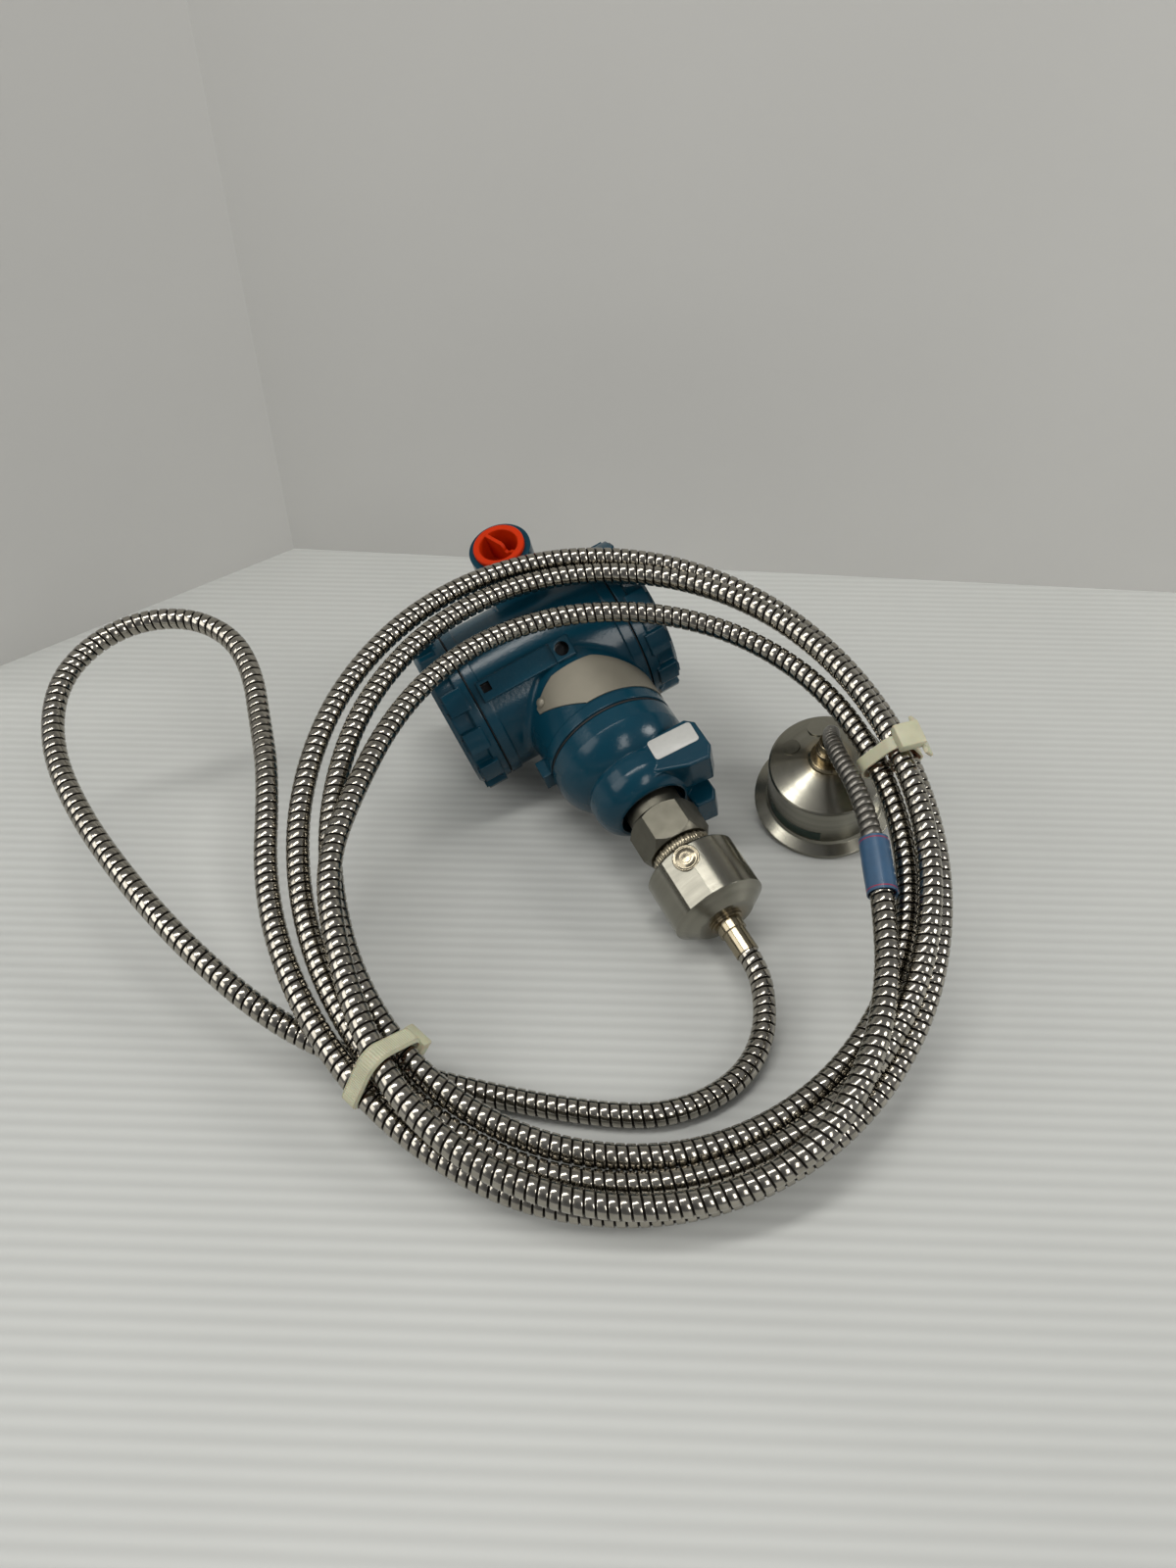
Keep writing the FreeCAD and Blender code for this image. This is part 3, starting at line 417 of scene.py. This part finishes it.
def evaluatedMesh(name, data, prepare=None):
    # Mesh of a curve, or of a mesh with a modifier
    holder = bpy.data.objects.new(name, data)
    bpy.context.scene.collection.objects.link(holder)
    if prepare:
        prepare(holder)
    bpy.context.view_layer.update()
    mesh = bpy.data.meshes.new_from_object(holder.evaluated_get(bpy.context.evaluated_depsgraph_get()))
    bpy.data.objects.remove(holder)
    return mesh


def routeLine():
    # Points along one smooth spline that has the route points as control points
    points = routePoints()
    curve = bpy.data.curves.new("capillaryRoute", "CURVE")
    curve.dimensions = "3D"
    curve.resolution_u = 16
    spline = curve.splines.new("NURBS")
    spline.points.add(len(points) - 1)
    for target, point in zip(spline.points, points):
        target.co = (*point, 1)
    spline.order_u = 3
    spline.use_endpoint_u = True
    return [vertex.co.copy() for vertex in evaluatedMesh("capillaryRoute", curve).vertices]


def pathFrames(line):
    # Distance from the start and cross directions at each point, turned as little as possible on the way
    frames = []
    passed = 0.0
    side = (line[1] - line[0]).orthogonal()
    for index, point in enumerate(line):
        heading = (line[min(index + 1, len(line) - 1)] - line[max(index - 1, 0)]).normalized()
        side = (side - heading * side.dot(heading)).normalized()
        passed += (point - line[index - 1]).length if index else 0.0
        frames.append((passed, point, side, heading.cross(side)))
    return frames


def windStrip(outline, turns):
    # Outline of (place, radius) pairs wound round Z: a place of 1 is one turn
    shape = bmesh.new()
    verts = [shape.verts.new((radius, 0, place)) for place, radius in outline]
    for pair in zip(verts, verts[1:]):
        shape.edges.new(pair)
    mesh = bpy.data.meshes.new("strip")
    shape.to_mesh(mesh)
    shape.free()

    def wind(holder):
        screw = holder.modifiers.new("wind", "SCREW")
        screw.steps = screw.render_steps = capillary["sides"]
        screw.iterations = turns
        screw.screw_offset = 1.0

    wound = bmesh.new()
    wound.from_mesh(evaluatedMesh("strip", mesh, wind))
    bmesh.ops.remove_doubles(wound, verts=wound.verts, dist=0.0005)
    bmesh.ops.holes_fill(wound, edges=[edge for edge in wound.edges if edge.is_boundary])
    bmesh.ops.recalc_face_normals(wound, faces=wound.faces)
    return wound


def layStrip(shape, frames, placeAt, scaleAt, fine):
    # Bends a wound strip along the route and marks its grooves
    groove = shape.verts.layers.float.new("groove")
    kind = shape.verts.layers.float.new("fine")
    distances = [entry[0] for entry in frames]
    for vert in shape.verts:
        x, y, turn = vert.co
        reach = math.hypot(x, y)
        vert[groove] = min(1.0, max(0.0, (capillary["grooveFrom"] - reach) / capillary["grooveDepth"]))
        vert[kind] = fine
        place = placeAt(turn)
        index = min(max(bisect(distances, place), 1), len(frames) - 1)
        before, after = frames[index - 1], frames[index]
        share = (place - before[0]) / (after[0] - before[0])
        centre, side, other = [before[k].lerp(after[k], share) for k in (1, 2, 3)]
        vert.co = centre + (side * x + other * y) * (scaleAt(turn) * capillary["diameter"] / 2 * mm)


def makeArmour():
    # A wide strip up to the tag, then a close winding up to the seal, both started inside what holds them
    line = routeLine()
    frames = pathFrames(line)
    length = frames[-1][0]
    pitch = capillary["pitch"] * mm
    first, last = [part * mm for part in capillary["finePitch"]]
    fineStart = length - capillary["fineLength"] * mm
    mainTurns = round(fineStart / pitch) + 1
    fineTurns = round(2 * (length - fineStart) / (first + last)) + 1
    shape = windStrip(capillary["band"], mainTurns)
    layStrip(shape, frames, lambda turn: pitch * (turn - 1), lambda turn: 1.0, 0.0)
    close = windStrip(capillary["wire"], fineTurns)
    thick, thin = capillary["fineScale"]

    def closePlace(turn):
        return fineStart - first + turn * (first - (first - last) * turn / (2 * fineTurns))

    def closeScale(turn):
        return thick + (thin - thick) * turn / fineTurns

    layStrip(close, frames, closePlace, closeScale, 1.0)
    mesh = bpy.data.meshes.new("armouredCapillary")
    close.to_mesh(mesh)
    close.free()
    shape.from_mesh(mesh)
    shape.to_mesh(mesh)
    shape.free()
    piece = linkPiece("armouredCapillary", mesh, armourStrip,
                      ("capillary_lead", "capillary_coil", "seal_lead"), sharp=30.0)
    return piece, line, length


armour, route, length = makeArmour()
print("capillary", round(length, 3), "m")


# Nylon ties: a hull round the strands, with ladder teeth on the left one

leftTie = {"angle": 229.0, "middle": (121.7, 11.5), "teeth": 1.1, "headOn": -1, "headTurn": -138.0,
           "headFrom": -7.0}
rightTie = {"angle": 15.5, "teeth": 0.0, "headOn": 1, "headTurn": 0.0, "headFrom": -2.0,
            "flange": (6.0, 17.0, 1.6), "flangeLean": 52.0, "flangeOut": 9.2, "flangeSink": 0.4}
strap = {"inside": 5.5, "thickness": 1.3, "width": 5.6, "segments": 40, "head": (10.4, 10.4, 5.0),
         "headEdge": 0.7, "flangeEdge": 0.4, "toothEdge": 0.22, "toothDepth": 0.3, "play": 0.4}


def strandsAt(tie):
    # Distance out and off the plane of each strand that the tie goes round
    outwards, along, normal = coilAxes(tie["angle"])
    inset = coil["radius"] * (1 - math.cos(math.pi / coil["points"]))
    first = tie["angle"] + 360 * math.ceil((coil["start"] - tie["angle"]) / 360)
    places = [coilPoint(first + 360 * k) - Vector(coil["centre"]) for k in range(coil["turns"])]
    strands = [(place.dot(outwards) - inset, place.dot(normal)) for place in places]
    if "middle" in tie:
        strands[1] = tie["middle"]
    return strands


def tieFrame(angle):
    outwards, along, normal = coilAxes(angle)
    turn = Matrix((outwards, along, normal)).transposed().to_4x4()
    return Matrix.Translation(Vector(coil["centre"]) * mm) @ turn


def makeTie(name, tie):
    shape = bmesh.new()
    lay = Matrix.Rotation(math.radians(90), 4, "X")
    strands = strandsAt(tie)
    radius = strap["inside"] + strap["thickness"]
    for out, up in strands:
        bmesh.ops.create_cone(shape, cap_ends=True, segments=strap["segments"], radius1=radius,
                              radius2=radius, depth=strap["width"],
                              matrix=Matrix.Translation((out, 0, up)) @ lay)
    hull = bmesh.ops.convex_hull(shape, input=shape.verts)
    bmesh.ops.delete(shape, geom=list(set(hull["geom_interior"] + hull["geom_unused"])), context="VERTS")
    caps = [face for face in shape.faces if abs(face.normal.y) > 0.9]
    bmesh.ops.delete(shape, geom=caps, context="FACES")
    bmesh.ops.dissolve_limit(shape, angle_limit=math.radians(1), verts=shape.verts, edges=shape.edges)
    if tie["teeth"]:
        runs = [edge for edge in shape.edges if edge.calc_length() > 2 * tie["teeth"]
                and abs(edge.verts[0].co.y - edge.verts[1].co.y) < 0.1]
        for size in sorted({round(edge.calc_length(), 2) for edge in runs}):
            pair = [edge for edge in runs if edge.is_valid and round(edge.calc_length(), 2) == size]
            bmesh.ops.subdivide_edges(shape, edges=pair, cuts=int(size / tie["teeth"]), use_grid_fill=True)
        bmesh.ops.inset_individual(shape, faces=shape.faces, thickness=strap["toothEdge"],
                                   depth=-strap["toothDepth"], use_even_offset=True)
    bmesh.ops.recalc_face_normals(shape, faces=shape.faces)
    bmesh.ops.solidify(shape, geom=shape.faces, thickness=strap["thickness"] - strap["play"])
    out, up = strands[tie["headOn"]]
    size = strap["head"]
    crest = strap["inside"] + strap["thickness"] / 2
    turn = Matrix.Rotation(math.radians(tie["headTurn"]), 4, "Y")
    middle = Vector((out, 0, up)) + turn @ Vector((tie["headFrom"] + size[0] / 2, 0, crest + size[2] / 2))
    roundedBlock(shape, size, middle, strap["headEdge"], turn=turn)
    if "flange" in tie:
        lean = Matrix.Rotation(math.radians(tie["flangeLean"]), 4, "Y")
        place = (out + tie["flangeOut"], 0, up + crest - tie["flangeSink"])
        roundedBlock(shape, tie["flange"], place, strap["flangeEdge"], turn=lean)
    return setPiece(name + "Strap", shape, tieFrame(tie["angle"]), milkyNylon, (name + "_tie",))


ties = [makeTie("left", leftTie), makeTie("right", rightTie)]


# Tag sleeve round the capillary, with a thin printed border

tag = {"run": 12, "length": 23.0, "inside": 5.2, "outside": 5.7, "lip": 0.3, "swell": 0.12,
       "seam": (0.5, 5.0), "seamRise": 0.1, "seamSide": 2.0, "seamEdge": 0.15, "border": 1.6,
       "film": (0.038, 0.105, 0.2), "line": (0.25, 0.012, 0.05)}


def tagFrame():
    first = Vector(sealRoute[tag["run"]])
    second = Vector(sealRoute[tag["run"] + 1])
    turn = Vector((0, 0, 1)).rotation_difference((second - first).normalized())
    return Matrix.Translation((first + second) * 0.5 * mm) @ turn.to_matrix().to_4x4()


def tagFilm():
    material, tree, shader = newMaterial("tagFilm", {"Coat Weight": 0.4, "Coat Roughness": 0.15})
    point = piecePoint(tree, tagFrame())
    height = addNode(tree, "SeparateXYZ", {"Vector": point}, "Z")
    along = addNode(tree, "Math", {0: height}, operation="ABSOLUTE")
    edge = (tag["length"] / 2 - tag["border"]) * mm
    border = multiply(tree, spread(tree, along, 0.0, 1.0, edge, edge + 0.2 * mm),
                      spread(tree, along, 1.0, 0.0, edge + 0.5 * mm, edge + 0.7 * mm))
    creases = grain(tree, point, 160.0, 3.0)
    film = blendColours(tree, creases, tag["film"], shade(tag["film"], 0.55))
    feed(tree, shader, {"Base Color": blendColours(tree, border, film, tag["line"]),
                        "Roughness": spread(tree, creases, 0.28, 0.5)})
    addBump(tree, shader, creases, 0.12, 0.0006)
    return material


def makeTag():
    shape = bmesh.new()
    half = tag["length"] / 2
    inside, outside, lip = tag["inside"], tag["outside"], tag["lip"]
    spinOutline(shape, [(inside, -half), (outside, -half), (outside, -half + lip),
                        (outside + tag["swell"], 0), (outside, half - lip), (outside, half),
                        (inside, half), (inside, -half)], 36)
    roundedBlock(shape, (*tag["seam"], tag["length"]), (outside + tag["seamRise"], tag["seamSide"], 0),
                 tag["seamEdge"])
    return setPiece("tagWrap", shape, tagFrame(), tagFilm(), ("tag_sleeve",))


tagWrap = makeTag()


# Welds on the adapter

weldRow = {"radius": 12.1, "middle": -121.6, "count": 60, "bead": (1.25, 2.9, 1.5), "tilt": 34.0,
           "wobble": 0.14}
fillWeld = {"height": -132.4, "reach": 20.0, "turn": -7.5,
            "outline": [(5.3, -1.0), (5.75, -0.15), (5.6, 0.2), (5.2, 0.3), (4.7, 0.05), (4.2, 0.05),
                        (3.6, 0.38), (2.4, 0.52), (1.6, 0.38), (0.9, 0.58), (0.0, 0.44)]}


def makeWeldRow():
    # Overlapping beads laid round the joint
    shape = bmesh.new()
    tilt = Matrix.Rotation(math.radians(weldRow["tilt"]), 4, "Y")
    size = Matrix.Diagonal((*weldRow["bead"], 1))
    for k in range(weldRow["count"]):
        turn = Matrix.Rotation(2 * math.pi * k / weldRow["count"], 4, "Y")
        wobble = weldRow["wobble"] * math.sin(k * 2.4)
        place = Matrix.Translation((0, weldRow["middle"] + wobble, weldRow["radius"] + wobble))
        bmesh.ops.create_uvsphere(shape, u_segments=12, v_segments=7, radius=1.0,
                                  matrix=turn @ place @ tilt @ size)
    return setPiece("weldRow", shape, bodyFrame, weldSteel, ("weld_bead",), sharp=60.0)


def spunStud(stud, steps):
    # Spun outline set out from the neck's axis and turned round it
    shape = bmesh.new()
    spinOutline(shape, stud["outline"], steps)
    bmesh.ops.translate(shape, verts=shape.verts, vec=(0, stud["height"], stud["reach"]))
    bmesh.ops.rotate(shape, verts=shape.verts, cent=(0, 0, 0),
                     matrix=Matrix.Rotation(math.radians(stud["turn"]), 3, "Y"))
    return shape


def makeFillWeld():
    return setPiece("fillWeld", spunStud(fillWeld, 32), bodyFrame, weldSteel,
                    ("adapter_fill_plug",), sharp=60.0)


makeWeldRow()
makeFillWeld()


# Drive screw of the nameplate and the bare film plate on the bracket lug

driveScrew = {"turn": -39.0, "reach": 31.1, "height": -34.8,
              "outline": [(2.3, 0.0), (2.3, 0.35), (1.9, 0.95), (1.1, 1.35), (0.0, 1.45)]}
filmPlate = {"size": (20.6, 10.2, 0.3), "place": (19.9, -83.2, 21.6), "edge": 0.08, "corner": 1.6,
             "turn": -3.0}


def makeDriveScrew():
    return setPiece("driveScrew", spunStud(driveScrew, 28), bodyFrame, satinPlate,
                    ("nameplate_screw",))


def makeFilmPlate():
    shape = bmesh.new()
    turn = Matrix.Rotation(math.radians(filmPlate["turn"]), 4, "Z")
    roundedBlock(shape, filmPlate["size"], filmPlate["place"], filmPlate["edge"], filmPlate["corner"], turn)
    return setPiece("filmPlate", shape, bodyFrame, whiteFilm)


makeDriveScrew()
makeFilmPlate()


# Hollow hand plug of the upper conduit, with its notched web

handPlug = {"middle": (0, 37.4, 45.25), "steps": 48, "webFrom": 105.0, "webTo": 300.0, "webReach": 9.0,
            "webThickness": 1.7,
            "outline": [(0.0, -14.0), (9.8, -14.0), (10.1, -13.4), (10.1, 0.0), (11.7, 0.0), (12.0, 0.4),
                        (12.0, 2.1), (11.5, 2.6), (9.5, 2.6), (9.0, 2.2), (8.7, -4.0), (8.4, -10.4),
                        (7.9, -11.0), (0.0, -11.0)],
            "web": [(0.0, 2.4), (9.4, 2.4), (10.4, 1.6), (11.4, -1.2), (12.6, -1.8), (15.0, 0.6), (18.0, 2.2),
                    (18.0, -11.4), (0.0, -11.4)]}


def makePlug():
    shape = bmesh.new()
    spinOutline(shape, handPlug["outline"], handPlug["steps"])
    first, last = [Matrix.Rotation(math.radians(angle), 3, "Z") @ Vector((handPlug["webReach"], 0, 0))
                   for angle in (handPlug["webFrom"], handPlug["webTo"])]
    along = (last - first).normalized()
    side = along.cross(Vector((0, 0, 1))) * handPlug["webThickness"]
    face = shape.faces.new([shape.verts.new(first - side / 2 + along * run + Vector((0, 0, rise)))
                            for run, rise in handPlug["web"]])
    made = bmesh.ops.extrude_face_region(shape, geom=[face], use_keep_orig=True)["geom"]
    moved = [item for item in made if isinstance(item, bmesh.types.BMVert)]
    bmesh.ops.translate(shape, verts=moved, vec=side)
    bmesh.ops.translate(shape, verts=shape.verts, vec=handPlug["middle"])
    return setPiece("handPlug", shape, bodyFrame, orangePlastic, ("conduit_plug",),
                    "conduit_plug")


makePlug()


# Stage, light and camera

stage = {"corner": (-0.222, 0.253), "right": (0.335, 0.197), "left": (-0.36, 0.117), "height": 0.75,
         "floor": (0.55, 0.56, 0.54), "wall": (0.55, 0.545, 0.525), "shadeSpan": (0.3, 0.5), "topShade": 0.4,
         "rib": 5.55, "ribTurn": -2.0, "ribShade": 0.085, "ribBump": 0.22, "wavePeriod": 0.314, "reach": 2.5}


def makeFloor():
    material, tree, shader = newMaterial("ribbedSheet", {"Roughness": 0.5})
    point = addNode(tree, "Mapping", {"Vector": piecePoint(tree),
                                      "Rotation": (0, 0, math.radians(-stage["ribTurn"]))})
    ribScale = stage["wavePeriod"] / (stage["rib"] * mm)
    ribs = addNode(tree, "TexWave", {"Vector": point, "Scale": ribScale}, "Fac", bands_direction="Y")
    marks = spread(tree, grain(tree, point, 9.0, 4.0), 0.0, 1.0, 0.3, 0.8)
    sheet = blendColours(tree, marks, stage["floor"], shade(stage["floor"], 0.95))
    web = spread(tree, ribs, 0.0, stage["ribShade"])
    feed(tree, shader, {"Base Color": blendColours(tree, web, sheet, (0.0, 0.0, 0.0))})
    addBump(tree, shader, ribs, stage["ribBump"], 0.0006)
    shape = bmesh.new()
    bmesh.ops.create_grid(shape, x_segments=4, y_segments=4, size=stage["reach"])
    return stagePiece("floorSheet", shape, material)


def makeWall(name, first, second, over):
    # Upright panel, seen only from its front so the views from behind stay open
    material, tree, shader = newMaterial(name + "Board", {"Roughness": 0.75})
    marks = grain(tree, piecePoint(tree), 6.0, 3.0)
    height = addNode(tree, "SeparateXYZ", {"Vector": piecePoint(tree)}, "Z")
    board = blendColours(tree, marks, stage["wall"], shade(stage["wall"], 0.94))
    # Painted shade: the board darkens from 0.3 m up to 0.5 m, standing in for light falling off towards the
    # top
    wallShade = spread(tree, height, 0.0, 1.0, *stage["shadeSpan"])
    feed(tree, shader, {"Base Color": blendColours(tree, wallShade, board, shade(stage["wall"], stage["topShade"]))})
    back = addNode(tree, "NewGeometry", {}, "Backfacing")
    clear = addNode(tree, "BsdfTransparent", {})
    both = addNode(tree, "MixShader", {0: back, 1: shader.outputs[0], 2: clear})
    tree.links.new(both, tree.nodes["Material Output"].inputs["Surface"])
    shape = bmesh.new()
    a = Vector((*first, 0))
    b = Vector((*second, 0))
    b = a + (b - a) * over
    foot = shape.edges.new([shape.verts.new(point) for point in (a, b)])
    made = bmesh.ops.extrude_edge_only(shape, edges=[foot])["geom"]
    lifted = [item for item in made if isinstance(item, bmesh.types.BMVert)]
    bmesh.ops.translate(shape, verts=lifted, vec=(0, 0, stage["height"]))
    for face in shape.faces:
        face.normal_update()
        if face.normal.dot(Vector((0.4, -1, 0))) < 0:
            face.normal_flip()
    return stagePiece(name, shape, material)


def stagePiece(name, shape, material):
    mesh = bpy.data.meshes.new(name)
    shape.to_mesh(mesh)
    shape.free()
    mesh.materials.append(material)
    piece = bpy.data.objects.new(name, mesh)
    bpy.context.scene.collection.objects.link(piece)
    return piece


room = {"sky": (0.96, 0.97, 1.0, 1), "glow": (0.28, 0.14), "dimSide": (-0.05, -0.89, 0.45),
        "dimSpan": (0.8, 0.97), "warm": (1.0, 0.985, 0.95), "aim": (0.0, 0.0, 0.05)}
lamps = {"windowLeft": {"place": (-1.22, -0.6, 0.92), "size": (1.25, 0.86), "power": 8.5},
         "ceilingTube": {"place": (-0.36, -0.16, 1.6), "size": (0.24, 1.3), "power": 10.0},
         "frontRight": {"place": (0.57, -1.23, 0.9), "size": (0.3, 0.8), "power": 5.0},
         "rightSide": {"place": (1.36, -0.36, 0.8), "size": (0.4, 0.5), "power": 7.0}}


def areaLight(name, lamp):
    light = bpy.data.lights.new(name, "AREA")
    light.shape = "RECTANGLE"
    light.size, light.size_y = lamp["size"]
    light.energy = lamp["power"]
    light.color = room["warm"]
    holder = bpy.data.objects.new(name, light)
    place = Vector(lamp["place"])
    holder.location = place
    holder.rotation_euler = (Vector(room["aim"]) - place).to_track_quat("-Z", "Y").to_euler()
    bpy.context.scene.collection.objects.link(holder)


def makeLight():
    world = bpy.data.worlds.new("roomLight")
    world.use_nodes = True
    tree = world.node_tree
    towards = addNode(tree, "TexCoord", {}, "Generated")
    facing = addNode(tree, "VectorMath", {0: towards, 1: room["dimSide"]}, "Value", operation="DOT_PRODUCT")
    glow = spread(tree, facing, *room["glow"], *room["dimSpan"])
    feed(tree, tree.nodes["Background"], {"Color": room["sky"], "Strength": glow})
    bpy.context.scene.world = world
    for name, lamp in lamps.items():
        areaLight(name, lamp)


photoView = {"lens": 24.95, "sensor": 36, "nearest": 0.01, "place": (-0.0288, -0.3898, 0.349), "tilt": 49.27}


def makeCamera():
    data = bpy.data.cameras.new("photoCamera")
    data.lens = photoView["lens"]
    data.sensor_width = photoView["sensor"]
    data.clip_start = photoView["nearest"]
    camera = bpy.data.objects.new("photoCamera", data)
    camera.location = photoView["place"]
    camera.rotation_euler = (math.radians(photoView["tilt"]), 0, 0)
    bpy.context.scene.collection.objects.link(camera)
    bpy.context.scene.camera = camera


makeFloor()
makeWall("backWall", stage["corner"], stage["right"], 1.6)
makeWall("leftWall", stage["corner"], stage["left"], 1.3)
makeLight()
makeCamera()
bpy.context.scene.view_settings.view_transform = "Standard"
print("stage, lights and camera set")
